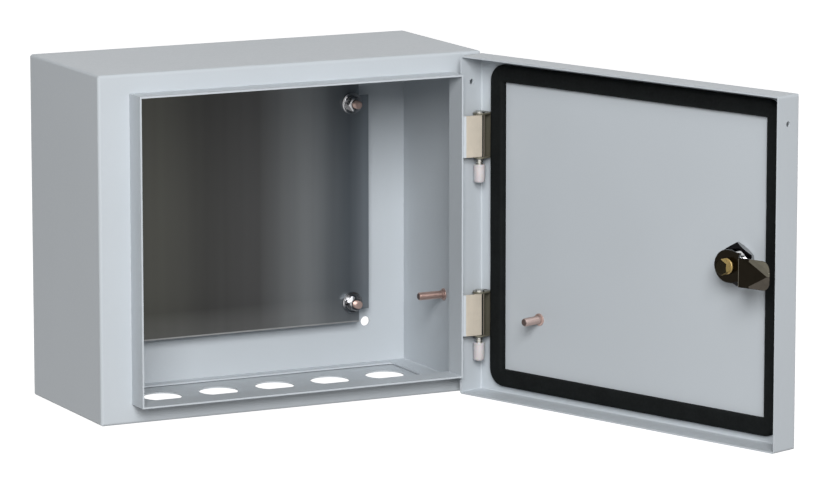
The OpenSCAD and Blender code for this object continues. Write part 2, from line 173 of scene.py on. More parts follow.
class Shape:
    """Collects closed surfaces in millimetres and turns them into one piece."""

    def __init__(self):
        self.verts = []
        self.faces = []

    def add(self, verts, faces, place=None):
        start = len(self.verts)
        for v in verts:
            p = Vector(v) * MM
            self.verts.append(place @ p if place else p)
        self.faces += [[start + i for i in f] for f in faces]

    def lathe(self, profile, place=None, n=64):
        """Turns (radius, height) points round Z. A radius of 0 closes the surface at a point."""
        rings = []
        verts = []
        for r, z in profile:
            if r <= 1e-6:
                rings.append([len(verts)])
                verts.append((0, 0, z))
            else:
                rings.append(list(range(len(verts), len(verts) + n)))
                verts += circle(r, z, n)
        faces = []
        pairs = list(zip(rings, rings[1:]))
        if profile[0] == profile[-1]:
            pairs[-1] = (rings[-2], rings[0])
        for a, b in pairs:
            for i in range(n):
                j = (i + 1) % n
                if len(a) == 1 and len(b) == 1:
                    break
                if len(a) == 1:
                    faces.append([a[0], b[j], b[i]])
                elif len(b) == 1:
                    faces.append([a[i], a[j], b[0]])
                else:
                    faces.append([a[i], a[j], b[j], b[i]])
        self.add(verts, faces, place)

    def join(self, rings, place=None, capped=False):
        """Joins rings of equally many points, each to the next. The last goes on to the first, or
        where capped is set the first and the last are closed by a face each."""
        n = len(rings[0])
        count = len(rings)
        verts = [p for r in rings for p in r]
        faces = []
        if capped:
            faces = [list(range(n))[::-1], list(range((count - 1) * n, count * n))]
        for k in range(count - 1 if capped else count):
            a, b = k * n, ((k + 1) % count) * n
            faces += [[a + i, a + (i + 1) % n, b + (i + 1) % n, b + i] for i in range(n)]
        self.add(verts, faces, place)

    def prism(self, outline, z0, z1, place=None, edge=0.12):
        """Extrudes an anticlockwise outline of (x, y) points, with a chamfer at both ends."""
        inner = inset(outline, edge)
        ends = [(inner, z0), (outline, z0 + edge), (outline, z1 - edge), (inner, z1)]
        self.join([[(x, y, z) for x, y in pts] for pts, z in ends], place, capped=True)

    def piece(self, name, body, material, sharp=32, replaces=()):
        mesh = bpy.data.meshes.new(name)
        mesh.from_pydata(self.verts, [], self.faces)
        bm = bmesh.new()
        bm.from_mesh(mesh)
        bmesh.ops.remove_doubles(bm, verts=bm.verts, dist=1e-7)
        bmesh.ops.recalc_face_normals(bm, faces=bm.faces)
        bm.to_mesh(mesh)
        bm.free()
        mesh.shade_smooth()
        mesh.set_sharp_from_angle(angle=math.radians(sharp))
        obj = bpy.data.objects.new(name, mesh)
        bpy.context.scene.collection.objects.link(obj)
        mesh.materials.append(material)
        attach(obj, body)
        if replaces:
            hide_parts(*replaces)
        return obj


def recoat(obj, material, chosen):
    """Gives the faces for which chosen is true one more material."""
    obj.data.materials.append(material)
    for face in obj.data.polygons:
        if chosen(face):
            face.material_index = len(obj.data.materials) - 1


def inset(outline, d):
    """Moves an anticlockwise outline inwards by d, mitred."""
    out = []
    n = len(outline)
    for i in range(n):
        p, q, r = (Vector(outline[(i + k) % n]) for k in (-1, 0, 1))
        a, b = (q - p).normalized(), (r - q).normalized()
        na, nb = Vector((-a.y, a.x)), Vector((-b.y, b.x))
        m = na + nb
        out.append(tuple(q + m * (d / max(0.25, m.dot(na)))))
    return out


def arc(cx, cy, r, a0, a1, n):
    """n + 1 points on an arc, in degrees."""
    turns = [math.radians(a0 + (a1 - a0) * i / n) for i in range(n + 1)]
    return [(cx + r * math.cos(a), cy + r * math.sin(a)) for a in turns]


def round_corner(profile, r=0.2, n=3):
    """Rounds every corner of a closed or open list of (radius, height) points."""
    out = [profile[0]]
    for p, q, s in zip(profile, profile[1:], profile[2:]):
        p, q, s = Vector(p), Vector(q), Vector(s)
        a, b = p - q, s - q
        d = min(r, a.length * 0.45, b.length * 0.45)
        a, b = q + a.normalized() * d, q + b.normalized() * d
        for i in range(n + 1):
            t = i / n
            out.append(tuple(a * (1 - t) ** 2 + q * 2 * t * (1 - t) + b * t**2))
    out.append(profile[-1])
    return out


def thread_cut(z, pitch, depth, turn):
    """Depth of a thread at height z and at turn, from 0 to 1, round its rod."""
    t = (z / pitch - turn) % 1.0
    return depth * max(0.0, min(1.0, 1.6 - 3.6 * abs(t - 0.5)))


def thread(shape, place, r, z0, z1, pitch=1.0, n=32, chamfer=0.8, head=0.0):
    """A threaded rod from z0 to z1 with a chamfered far end; below z0 + head it is plain."""
    steps = max(2, int((z1 - z0) / pitch * 8))
    rings = []
    for k in range(steps + 1):
        z = z0 + (z1 - z0) * k / steps
        limit = r - chamfer * max(0.0, 1 - (z1 - z) / chamfer)
        ring = []
        for i in range(n):
            cut = 0.0 if z < z0 + head else thread_cut(z, pitch, 0.55 * pitch, i / n)
            rr = min(r - cut, limit)
            ring.append((rr * math.cos(TAU * i / n), rr * math.sin(TAU * i / n), z))
        rings.append(ring)
    shape.join(rings, place, capped=True)


def hex_body(shape, place, af, t, bore=None, n=96, cut=0.94):
    """A hexagon nut, or a screw head where bore is None, with turned chamfers on its corners."""
    apothem = af / 2
    flat = apothem * cut
    slope = math.tan(math.radians(30))

    def reach(i):
        a = (TAU * i / n) % (TAU / 6) - TAU / 12
        return apothem / math.cos(a)

    def corners(height):
        """The hexagon's ring; height gives z from how far a point stands out of the flat circle."""
        return [
            (
                reach(i) * math.cos(TAU * i / n),
                reach(i) * math.sin(TAU * i / n),
                height((reach(i) - flat) * slope),
            )
            for i in range(n)
        ]

    rings = [circle(flat, 0.0, n), corners(lambda drop: drop), corners(lambda drop: t - drop)]
    rings.append(circle(flat, t, n))
    if bore:
        rings = [circle(bore - 0.35, 0.45, n), circle(bore + 0.15, 0.0, n)] + rings
        rings += [circle(bore + 0.15, t, n), circle(bore - 0.35, t - 0.45, n)]
        shape.join(rings, place)
    else:
        rings.append(circle(flat * 0.86, t, n))
        shape.join(rings, place, capped=True)


def washer(shape, place, r, bore, t):
    section = [(bore, t / 2), (bore, t), (r, t), (r, 0), (bore, 0), (bore, t / 2)]
    shape.lathe(round_corner(section, 0.22, 2), place)


def split_washer(shape, place, r, bore, t, lift=0.2, gap=14, n=60):
    """A square-section ring cut through at one place, whose ends are sprung apart a little."""
    e = 0.15
    flat = t - lift
    section = [(bore, e), (bore + e, 0), (r - e, 0), (r, e)]
    section += [(r, flat - e), (r - e, flat), (bore + e, flat), (bore, flat - e)]
    rings = []
    for i in range(n + 1):
        a = math.radians(gap / 2 + (360 - gap) * i / n)
        rise = lift * i / n
        rings.append([(rr * math.cos(a), rr * math.sin(a), z + rise) for rr, z in section])
    shape.join(rings, place, capped=True)


# ---- materials ----


class Nodes:
    """A material's node tree with short calls for what the finishes below need."""

    def __init__(self, name):
        self.material = bpy.data.materials.new(name)
        self.material.use_nodes = True
        self.tree = self.material.node_tree
        self.shader = self.tree.nodes["Principled BSDF"]
        self.where = self.tree.nodes.new("ShaderNodeTexCoord").outputs["Object"]

    def link(self, a, b):
        self.tree.links.new(a, b)

    def set(self, **values):
        for key, value in values.items():
            self.shader.inputs[key.replace("_", " ")].default_value = value

    def noise(self, scale, detail=3.0, roughness=0.55, stretch=None):
        n = self.tree.nodes.new("ShaderNodeTexNoise")
        n.inputs["Scale"].default_value = scale
        n.inputs["Detail"].default_value = detail
        n.inputs["Roughness"].default_value = roughness
        source = self.where
        if stretch:
            m = self.tree.nodes.new("ShaderNodeMapping")
            m.inputs["Scale"].default_value = stretch
            self.link(source, m.inputs["Vector"])
            source = m.outputs["Vector"]
        self.link(source, n.inputs["Vector"])
        return n.outputs["Fac"]

    def cells(self, scale):
        n = self.tree.nodes.new("ShaderNodeTexVoronoi")
        n.inputs["Scale"].default_value = scale
        self.link(self.where, n.inputs["Vector"])
        return n.outputs["Distance"]

    def along(self, axis, low, high):
        """0 to 1 between two places along an axis of the piece, in metres."""
        axes = self.tree.nodes.new("ShaderNodeSeparateXYZ")
        self.link(self.where, axes.inputs[0])
        span = self.tree.nodes.new("ShaderNodeMapRange")
        span.inputs["From Min"].default_value = low
        span.inputs["From Max"].default_value = high
        self.link(axes.outputs[axis], span.inputs["Value"])
        return span.outputs["Result"]

    def ramp(self, fac, *stops):
        """Maps fac through (position, grey or colour) stops."""
        n = self.tree.nodes.new("ShaderNodeValToRGB")
        e = n.color_ramp.elements
        while len(e) < len(stops):
            e.new(0.5)
        for k, (p, c) in enumerate(stops):
            e[k].position = p
            e[k].color = (c, c, c, 1) if isinstance(c, float) else (*c, 1)
        self.link(fac, n.inputs["Fac"])
        return n.outputs["Color"]

    def mix(self, fac, a, b):
        n = self.tree.nodes.new("ShaderNodeMix")
        n.data_type = "RGBA"
        for key, v in ((0, fac), (6, a), (7, b)):
            if isinstance(v, bpy.types.NodeSocket):
                self.link(v, n.inputs[key])
            elif key == 0:
                n.inputs[key].default_value = v
            else:
                n.inputs[key].default_value = (*v, 1)
        return n.outputs[2]

    def bump(self, height, strength, distance, before=None):
        n = self.tree.nodes.new("ShaderNodeBump")
        n.inputs["Strength"].default_value = strength
        n.inputs["Distance"].default_value = distance
        self.link(height, n.inputs["Height"])
        if before:
            self.link(before, n.inputs["Normal"])
        self.link(n.outputs["Normal"], self.shader.inputs["Normal"])
        return n.outputs["Normal"]

    def color(self, socket):
        self.link(socket, self.shader.inputs["Base Color"])

    def roughness(self, socket):
        self.link(socket, self.shader.inputs["Roughness"])


# How the grain of a metal is stretched
TUMBLED = (1, 1, 1)
DRAWN = (1, 1, 0.05)


def shade(c, k):
    return tuple(min(1.0, v * k) for v in c)


def powder_coat(name, tint, rough=0.42):
    """Sprayed and baked powder: orange peel, faint specks, and a slow drift of tone and gloss."""
    m = Nodes(name)
    drift = m.ramp(m.noise(6, 2), (0.3, 0.0), (0.7, 1.0))
    base = m.mix(drift, shade(tint, 0.975), shade(tint, 1.02))
    specks = m.ramp(m.noise(2600, 1), (0.68, 0.0), (0.76, 1.0))
    base = m.mix(specks, base, shade(tint, 0.93))
    m.color(base)
    m.roughness(m.ramp(m.noise(420, 2), (0.3, rough - 0.04), (0.7, rough + 0.05)))
    peel = m.bump(m.noise(620, 2, 0.5), 0.10, 0.0004)
    m.bump(m.noise(4200, 1), 0.05, 0.0001, peel)
    m.set(IOR=1.5)
    return m.material


def plated(name, tint, rough, dark=0.8, grain=TUMBLED, scale=900, bump=0.03, metallic=1.0):
    """Plated or bare metal: drawn or tumbled grain, cloudy patches in tone and gloss, fine pits."""
    m = Nodes(name)
    cloud = m.ramp(m.noise(160, 3, 0.6), (0.32, 0.0), (0.68, 1.0))
    base = m.mix(cloud, shade(tint, dark), tint)
    line = m.ramp(m.noise(scale, 4, 0.65, stretch=grain), (0.35, 0.0), (0.65, 1.0))
    base = m.mix(line, shade(tint, 1 - (1 - dark) / 2), base)
    m.color(base)
    m.roughness(m.ramp(line, (0.0, max(0.04, rough - 0.06)), (1.0, rough + 0.07)))
    m.bump(m.noise(scale, 4, 0.65, stretch=grain), bump * 10, 0.00005)
    m.set(Metallic=metallic)
    return m.material


def rubber(name, tint, rough=0.75, pores=1500, bump=0.5, shine=0.2):
    """Foamed or moulded rubber: skin pores, dust in the tone, a little sheen."""
    m = Nodes(name)
    dust = m.ramp(m.noise(90, 3), (0.3, 0.0), (0.7, 1.0))
    m.color(m.mix(dust, shade(tint, 0.8), shade(tint, 1.25)))
    m.roughness(m.ramp(m.noise(500, 2), (0.3, rough - 0.1), (0.7, rough + 0.08)))
    skin = m.bump(m.cells(pores), bump, 0.00008)
    m.bump(m.noise(260, 3), 0.25, 0.0004, skin)
    m.set(Specular_IOR_Level=shine)
    return m.material


def galvanised_sheet():
    """Skin-passed zinc sheet with faint rolling lines. The shift of tone across its width and the
    lighter band at its foot are painted reflection; the light lower edge is a painted highlight."""
    m = Nodes("galvanised_sheet")
    side, foot_z = PLATE_W / 2 * MM, -PLATE_H / 2 * MM
    # Painted reflection: dark and light bands of tone across the width
    tone = m.ramp(
        m.along("X", -side, side),
        (0.0, (0.062, 0.062, 0.054)),
        (0.25, (0.066, 0.066, 0.058)),
        (0.42, (0.044, 0.044, 0.042)),
        (0.61, (0.062, 0.062, 0.062)),
        (0.79, (0.190, 0.200, 0.206)),
        (0.93, (0.115, 0.130, 0.145)),
        (0.985, (0.220, 0.245, 0.270)),
    )
    # Painted reflection: lighter towards the foot
    foot = m.ramp(m.along("Z", foot_z, foot_z + 0.020), (0.0, 1.0), (1.0, 0.0))
    tone = m.mix(foot, tone, m.mix(0.10, tone, (0.8, 0.8, 0.78)))
    # Painted highlight: a light line along the lower edge
    painted_edge_highlight = m.ramp(m.along("Z", foot_z, foot_z + 0.002), (0.40, 1.0), (0.60, 0.0))
    tone = m.mix(painted_edge_highlight, tone, (0.42, 0.42, 0.42))
    line = m.ramp(m.noise(90, 2, 0.5, stretch=(1, 1, 0.03)), (0.3, 0.0), (0.7, 1.0))
    m.color(m.mix(line, m.mix(0.10, tone, (0.0, 0.0, 0.0)), tone))
    m.roughness(m.ramp(m.noise(20, 1), (0.0, 0.285), (1.0, 0.315)))
    m.set(Metallic=0.6, Specular_IOR_Level=0.2)
    return m.material


COAT = (0.518, 0.556, 0.590)
coat_cabinet = powder_coat("coat_cabinet", COAT)
coat_back = powder_coat("coat_back", shade(COAT, 0.99))
coat_door = powder_coat("coat_door", COAT)
coat_gland = powder_coat("coat_gland", shade(COAT, 0.97), 0.46)
galvanised = galvanised_sheet()
copper = plated(
    "copper_plating", (0.50, 0.36, 0.32), 0.40, 0.85, scale=1200, bump=0.01, metallic=0.6
)
# A darker copy of the copper with a rougher gloss, for the door's stud: the darker tint is painted
# shade
copper_matt_shaded = plated(
    "copper_matt_shaded", (0.39, 0.31, 0.29), 0.50, 0.85, scale=1200, bump=0.01, metallic=0.6
)
sawn_steel = plated("sawn_stud_end", (0.15, 0.11, 0.10), 0.40, 0.70, scale=1500, metallic=0.6)
zinc = plated("zinc_plating", (0.40, 0.40, 0.41), 0.14, 0.55, bump=0.004)
leaf_zinc = plated("hinge_leaf_zinc", (0.66, 0.59, 0.49), 0.45, 0.88, DRAWN, 1100, metallic=0.7)
bracket_zinc = plated(
    "hinge_bracket_zinc", (0.17, 0.16, 0.12), 0.35, 0.8, DRAWN, 1100, metallic=0.3
)
# Painted shadow: near-black, for the shaded gap beside the knuckle
knuckle_gap_shadow = plated(
    "hinge_knuckle_gap_shadow", (0.007, 0.006, 0.005), 0.35, 0.8, DRAWN, 1100, metallic=0.3
)
pin_steel = plated("pin_steel", (0.55, 0.54, 0.50), 0.28, 0.8, DRAWN, 1600)
ring_steel = plated("ring_steel", (0.12, 0.12, 0.11), 0.35, 0.8)
chrome = plated("lock_chrome", (0.62, 0.63, 0.64), 0.12, 0.9)
nut_chrome = plated("lock_nut_zinc", (0.42, 0.42, 0.42), 0.16, 0.85, bump=0.004)
# Painted dark reflection: near-black for the nut's faces that look into the cabinet
nut_dark_reflection = plated("lock_nut_dark_reflection", (0.010, 0.010, 0.011), 0.18, 0.8, bump=0.004)
# The cam's zinc, near-black as painted dark reflection
cam_zinc_dark_reflection = plated("cam_zinc_dark_reflection", (0.013, 0.0105, 0.007), 0.16, 0.8, scale=700)
# Painted highlights on the cam's coined flanks and the outside of its bend
cam_painted_highlight = plated("cam_painted_highlight_zinc", (0.080, 0.070, 0.058), 0.22, 0.7, scale=1100)
cam_bright_highlight = plated("cam_bright_highlight_zinc", (0.15, 0.14, 0.11), 0.2, 0.7, scale=1100, bump=0.006)
brass = plated("screw_brass", (0.56, 0.41, 0.16), 0.30, 0.85, bump=0.006, metallic=0.35)
# Painted shade: near-black brass for the top of the screw's head
brass_top_shade = plated("screw_brass_top_shade", (0.018, 0.015, 0.009), 0.25, 0.8, bump=0.006)
foam = rubber("gasket_foam", (0.0055, 0.0066, 0.0068), shine=0.10)
seal = rubber("seal_rubber", (0.02, 0.021, 0.022), 0.6, 2200, 0.3)


def plastic(name, tint):
    """Moulded plastic that lets a little light in, with a slightly uneven gloss."""
    m = Nodes(name)
    m.color(m.mix(m.ramp(m.noise(220, 3), (0.3, 0.0), (0.7, 1.0)), shade(tint, 0.95), tint))
    m.roughness(m.ramp(m.noise(700, 2), (0.3, 0.33), (0.7, 0.42)))
    m.bump(m.noise(1500, 2), 0.12, 0.00006)
    m.set(Subsurface_Weight=0.15, Subsurface_Scale=0.001)
    return m.material


cap_plastic = plastic("cap_plastic", (0.60, 0.565, 0.57))


# ---- CAD nodes that keep their shape ----


def dress(node, material):
    """Gives a CAD node its finish."""
    obj = NODES[node]
    for s in obj.material_slots:
        s.link = "OBJECT"
        s.material = material
    if not obj.material_slots:
        obj.data.materials.append(material)


dress("cabinet_shell", coat_cabinet)
dress("back_panel", coat_back)
dress("door_panel", coat_door)
dress("gland_plate", coat_gland)
dress("mounting_plate", galvanised)
dress("plate_spacers", zinc)
dress("gland_gasket", seal)
dress("lock_seal", seal)

# ---- mounting plate fixings ----

OUT = rot("X", 90)
plate_places = [at(x, 0, z, OUT) for x in (-STUD_X, STUD_X) for z in (-STUD_Z, STUD_Z)]
front = -PLATE_FRONT_Y

s = Shape()
for m in plate_places:
    thread(s, m, M6_R, SHEET, SHEET + M6_STUD_LEN, head=8.0)
    collar = [(0, SHEET), (COLLAR_R, SHEET), (COLLAR_R, SHEET + 1), (0, SHEET + 1)]
    s.lathe(round_corner(collar, 0.3), m)
s.piece("threaded_plate_studs", "cabinet", copper, replaces=["plate_studs"])

s = Shape()
for m in plate_places:
    washer(s, m @ at(0, 0, front), 8.0, M6_BORE_R, WASHER_T)
s.piece("wide_washers", "cabinet", zinc, replaces=["plate_washers"])

s = Shape()
for k, m in enumerate(plate_places):
    split_washer(s, m @ at(0, 0, front + WASHER_T, rot("Z", 40 + 75 * k)), 5.6, M6_BORE_R, WASHER_T)
s.piece("split_washers", "cabinet", zinc, replaces=["plate_spring_washers"])

s = Shape()
for k, m in enumerate(plate_places):
    place = m @ at(0, 0, front + 2 * WASHER_T, rot("Z", 12 + 17 * k))
    hex_body(s, place, M6_NUT_AF, M6_NUT_T, M6_R + 0.05)
s.piece("chamfered_nuts", "cabinet", zinc, replaces=["plate_nuts"])

# ---- earth studs ----


def earth_stud(body, place, length, finish):
    """A weld stud. Its collar has the plain copper, and its sawn end is darker; a finish that is the
    darker copper puts painted shade on the rest.
    """
    s = Shape()
    thread(s, place, M6_R, 0.0, length, head=2.2)
    collar = [(0, 0), (COLLAR_R, 0), (COLLAR_R, 0.45), (4.35, 0.75)]
    s.lathe(collar + [(3.9, 0.98), (3.2, 1.0), (0, 1.0)], place)
    stud = s.piece(
        f"threaded_{body}_earth_stud", body, finish, replaces=[f"{body}_earth_stud"]
    )
    to_place = place.inverted()
    recoat(stud, sawn_steel, lambda face: (to_place @ face.center).z > (length - 0.3) * MM)
    recoat(stud, copper, lambda face: (to_place @ face.center).z < 1.05 * MM)


earth_stud("cabinet", at(CABINET_W / 2 - SHEET, -68, -63.7, rot("Y", -90)), 21, copper)
# The door's stud takes the darker copper, which is painted shade
earth_stud("door", DOOR @ at(90.4, DOOR_INNER_Y, -64.4, rot("X", -90)), 16.4, copper_matt_shaded)

# ---- cable plate fixings ----

columns = [GLAND_STUD_SPAN * (i / (GLAND_COLUMNS - 1) - 0.5) for i in range(GLAND_COLUMNS)]
gland_places = [
    at(x, CABLE_ROW_Y + y, FLOOR_Z, rot("X", 180))
    for x in columns
    for y in (-GLAND_STUD_OUT, GLAND_STUD_OUT)
]

s = Shape()
for m in gland_places:
    thread(s, m, GLAND_STUD_R, 0.0, GLAND_STUD_LEN, pitch=0.7, n=24, chamfer=0.5, head=2.0)
s.piece("threaded_gland_studs", "cabinet", copper, replaces=["gland_studs"])

s = Shape()
for k, m in enumerate(gland_places):
    hex_body(s, m @ at(0, 0, GLAND_NUT_Z, rot("Z", 23 * k)), 7, 3.2, GLAND_STUD_R + 0.05, n=72)
s.piece("chamfered_gland_nuts", "cabinet", zinc, replaces=["gland_nuts"])

# ---- hinges ----


def leaf_outline():
    """The frame leaf's section, anticlockwise, with the joint where the sheet meets itself."""
    face = PIN_Y - KNUCKLE_R
    fold = (LIP_X + LEAF_BEND, face + LEAF_BEND)
    rolled_r = KNUCKLE_R - 0.02
    pts = [(LIP_X, face + LEAF_TAB)]
    pts += arc(*fold, LEAF_BEND, 180, 270, 8)
    pts += arc(PIN_X, PIN_Y, KNUCKLE_R, -90, 128, 36)
    pts += arc(PIN_X, PIN_Y, KNUCKLE_BORE_R, 128, -212, 34)
    pts += arc(PIN_X, PIN_Y, rolled_r, 142, 150, 1)
    pts += arc(PIN_X, PIN_Y, rolled_r, 150, 212, 8)[1:]
    pts += [(PIN_X - 4.6, face + LEAF_T + 0.15), (PIN_X - 5.4, face + LEAF_T)]
    pts += arc(*fold, LEAF_BEND - LEAF_T, 270, 180, 6)
    pts += [(LIP_X + LEAF_T, face + LEAF_TAB)]
    return pts


def frame_leaf(z, name, node):
    """A leaf whose fold carries the cabinet's coat; its knuckle has a painted shadow band
    and a band in the bracket's plating.
    """
    s = Shape()
    s.prism(leaf_outline(), z - KNUCKLE_H / 2, z + KNUCKLE_H / 2)
    leaf = s.piece(name, "cabinet", leaf_zinc, replaces=[node])

    def rolled(start, end):
        """True between two distances across the knuckle, on its front side."""

        def chosen(face):
            x, y, _ = face.center / MM
            across = Vector((x - PIN_X, y - PIN_Y)).dot(ACROSS)
            return y < PIN_Y + 2 and start < across < end

        return chosen

    # Painted shadow: a near-black band for the shaded gap between the knuckle and the bracket
    recoat(leaf, knuckle_gap_shadow, rolled(1.45, 2.9))
    recoat(leaf, bracket_zinc, rolled(3.3, KNUCKLE_R))
    recoat(leaf, coat_cabinet, lambda face: face.center.x < (LIP_X + 2.3) * MM)


def door_leaf(z, name, node):
    """The bracket on the door: a base with rounded corners and two ears."""
    base_h = KNUCKLE_H + 2 * (EAR_GAP + EAR_T)
    x0, x1 = PIN_X - EAR_R, PIN_X - EAR_R + BRACKET_W
    z0, z1 = z - base_h / 2, z + base_h / 2
    y0 = DOOR_INNER_Y
    s = Shape()
    r = 0.8
    outline = []
    corners = [(x1 - r, z1 - r), (x0 + r, z1 - r), (x0 + r, z0 + r), (x1 - r, z0 + r)]
    for k, (cx, cz) in enumerate(corners):
        outline += arc(cx, cz, r, 90 * k, 90 * k + 90, 5)
    turn = Matrix(((1, 0, 0, 0), (0, 0, 1, 0), (0, 1, 0, 0), (0, 0, 0, 1)))
    s.prism(outline, y0, y0 + LEAF_T, DOOR @ turn)
    ear = arc(PIN_X, PIN_Y, EAR_R, 0, 180, 24)
    ear += [(x0, y0 + 0.1), (x0 + 2 * EAR_R, y0 + 0.1)]
    hole = arc(PIN_X, PIN_Y, KNUCKLE_BORE_R, 0, 360, 32)[:-1]
    for side in (-1, 1):
        ze = z + side * (base_h - EAR_T) / 2
        plate_with_hole(s, ear, hole, ze - EAR_T / 2, ze + EAR_T / 2)
    s.piece(name, "door", bracket_zinc, replaces=[node])


def plate_with_hole(shape, outer, hole, z0, z1):
    """A flat ear round the hinge's axis, as rings of quads between its outline and its hole."""

    def reach(points, d):
        """How far an outline is from the axis in the direction d."""
        far = 0.0
        for p, q in zip(points, points[1:] + points[:1]):
            p = Vector((p[0] - PIN_X, p[1] - PIN_Y))
            e = Vector((q[0] - PIN_X, q[1] - PIN_Y)) - p
            det = d.y * e.x - d.x * e.y
            if abs(det) < 1e-12:
                continue
            t = (p.y * e.x - p.x * e.y) / det
            u = (d.x * p.y - d.y * p.x) / det
            if t > far and -1e-6 <= u <= 1 + 1e-6:
                far = t
        return far

    def around(points, n=72):
        """n points on an outline, evenly round the axis."""
        ways = [Vector((x, y)) for x, y, z in circle(1, 0, n)]
        return [(PIN_X + d.x * reach(points, d), PIN_Y + d.y * reach(points, d)) for d in ways]

    edge = 0.12
    rim, hole = around(outer), around(hole)
    inner = inset(rim, edge)
    levels = [(hole, z0), (inner, z0), (rim, z0 + edge), (rim, z1 - edge), (inner, z1), (hole, z1)]
    shape.join([[(x, y, z) for x, y in pts] for pts, z in levels], DOOR)


def hinge_pin(z, name, node):
    """A headed pin with three grooves below the lower ear, the last one for the snap ring."""
    top = z + KNUCKLE_H / 2 + EAR_GAP + EAR_T
    low = z - KNUCKLE_H / 2 - EAR_GAP - EAR_T
    neck = low - NECK
    end = neck - CAP_LEN + CAP_NOSE
    groove = PIN_R - PIN_GROOVE
    profile = [(0, end), (PIN_R - 0.4, end), (PIN_R, end + 0.4), (PIN_R, neck - 1.5)]
    profile += [(PIN_R, neck + 0.6), (groove, neck + 0.8), (groove, neck + 1.5), (PIN_R, neck + 1.7)]
    profile += [(PIN_R, neck + 2.5), (groove, neck + 2.7), (groove, low - RING_T), (PIN_R, low)]
    profile += [(PIN_R, top), (PIN_HEAD_R, top), (PIN_HEAD_R, top + 0.55), (3.6, top + 1.15)]
    profile += [(2.6, top + 1.5), (1.2, top + 1.6), (0, top + 1.6)]
    s = Shape()
    s.lathe(profile, DOOR @ at(PIN_X, PIN_Y, 0), 48)
    s.piece(name, "door", pin_steel, replaces=[node])


for z, which in ((HINGE_Z, "upper"), (-HINGE_Z, "lower")):
    frame_leaf(z, f"rolled_{which}_leaf", f"{which}_hinge_frame_leaf")
    door_leaf(z, f"eared_{which}_bracket", f"{which}_hinge_door_leaf")
    hinge_pin(z, f"headed_{which}_pin", f"{which}_hinge_pin")

s = Shape()
for side in (-1, 1):
    low = side * HINGE_Z - KNUCKLE_H / 2 - EAR_GAP - EAR_T
    place = DOOR @ at(PIN_X, PIN_Y, low - RING_T, rot("Z", -90))
    split_washer(s, place, 3.6, 2.2, RING_T, lift=0.0, gap=40)
s.piece("snap_rings", "door", ring_steel, replaces=["pin_snap_rings"])

s = Shape()
for side in (-1, 1):
    top = side * HINGE_Z - KNUCKLE_H / 2 - EAR_GAP - EAR_T - NECK
    low = top - CAP_LEN
    bore_r = PIN_R + 0.05
    profile = [(0, low + CAP_NOSE), (bore_r, low + CAP_NOSE), (bore_r, top), (3.75, top)]
    profile += [(4.02, top - 0.12), (CAP_R, top - 0.4), (CAP_R, top - 1.6), (4.02, top - 1.8)]
    profile += [(4.02, top - 2.1), (4.06, top - 2.3), (3.98, low + 2.2), (3.8, low + 1.2)]
    profile += [(3.4, low + 0.5), (2.6, low + 0.12), (1.5, low), (0, low)]
    s.lathe(profile, DOOR @ at(PIN_X, PIN_Y, 0), 48)
s.piece("moulded_caps", "door", cap_plastic, replaces=["pin_caps"])

# ---- door gasket ----


def gasket_path():
    """The ring's middle line, in even steps along its sides."""
    run_x, run_z = GASKET_X - GASKET_CORNER_R, GASKET_Z - GASKET_CORNER_R
    path = []

    def straight(p, q, n):
        path.extend((p[0] + (q[0] - p[0]) * i / n, p[1] + (q[1] - p[1]) * i / n) for i in range(n))

    def turn(cx, cz, a0):
        path.extend(arc(cx, cz, GASKET_CORNER_R, a0, a0 + 90, 20)[:-1])

    long_n, tall_n = 130, 112
    turn(run_x, -run_z, 270)
    straight((GASKET_X, -run_z), (GASKET_X, run_z), tall_n)
    turn(run_x, run_z, 0)
    straight((run_x, GASKET_Z), (-run_x, GASKET_Z), long_n)
    turn(-run_x, run_z, 90)
    straight((-GASKET_X, run_z), (-GASKET_X, -run_z), tall_n)
    turn(-run_x, -run_z, 180)
    straight((-run_x, -GASKET_Z), (run_x, -GASKET_Z), long_n)
    return path


def gasket():
    """Foam poured in a ring: an uneven D, with a dip where the nozzle started and stopped."""
    w, h, edge = GASKET_HALF_W, GASKET_H, GASKET_EDGE_R
    path = gasket_path()
    section = [(w, 0.0), (w, h - edge)]
    for a in (0.35, 0.7, 1.05, 1.35):
        section.append((w - edge + edge * math.cos(a), h - edge + edge * math.sin(a)))
    section += [(w - edge, h), (1.4, h), (0, h), (-1.4, h), (-w + edge, h)]
    for a in (0.22, 0.52, 0.87, 1.22):
        section.append((-w + edge - edge * math.sin(a), h - edge + edge * math.cos(a)))
    section += [(-w, h - edge), (-w, 0.0)]
    start = Vector((GASKET_X - 40, -GASKET_Z))
    rings = []
    for i, (x, z) in enumerate(path):
        here = Vector((x, z))
        along = (Vector(path[(i + 1) % len(path)]) - Vector(path[i - 1])).normalized()
        out = Vector((along.y, -along.x))
        near = math.exp(-(((here - start).length / 7.0) ** 2))
        ring = []
        for k, (u, v) in enumerate(section):
            uneven = noise.noise(Vector((x * 0.05, z * 0.05, k * 0.31))) * 0.14
            uneven += noise.noise(Vector((x * 0.4, z * 0.4, k * 0.7))) * 0.05
            u2 = u * (1 - 0.018)
            v2 = v
            if v > 0:
                u2 -= uneven if u > 0 else -uneven
                v2 -= abs(uneven) * 0.9 + 0.05 + 0.25 * near * (1 - abs(u) / w)
            q = here + out * u2
            ring.append((q.x, DOOR_INNER_Y + max(0.0, v2), q.y))
        rings.append(ring)
    s = Shape()
    s.join(rings, DOOR)
    s.piece("foamed_gasket", "door", foam, sharp=60, replaces=["door_gasket"])


gasket()

# ---- lock ----

# The escutcheon outside the door
s = Shape()
section = [(8.5, WELL), (8.5, FACE), (13.0, FACE), (15.0, FACE + 1.6), (15.0, BARREL_BACK)]
section += [(BARREL_BORE_R, BARREL_BACK), (BARREL_BORE_R, WELL), (8.5, WELL)]
s.lathe(round_corner(section, 0.35), LOCK, 96)

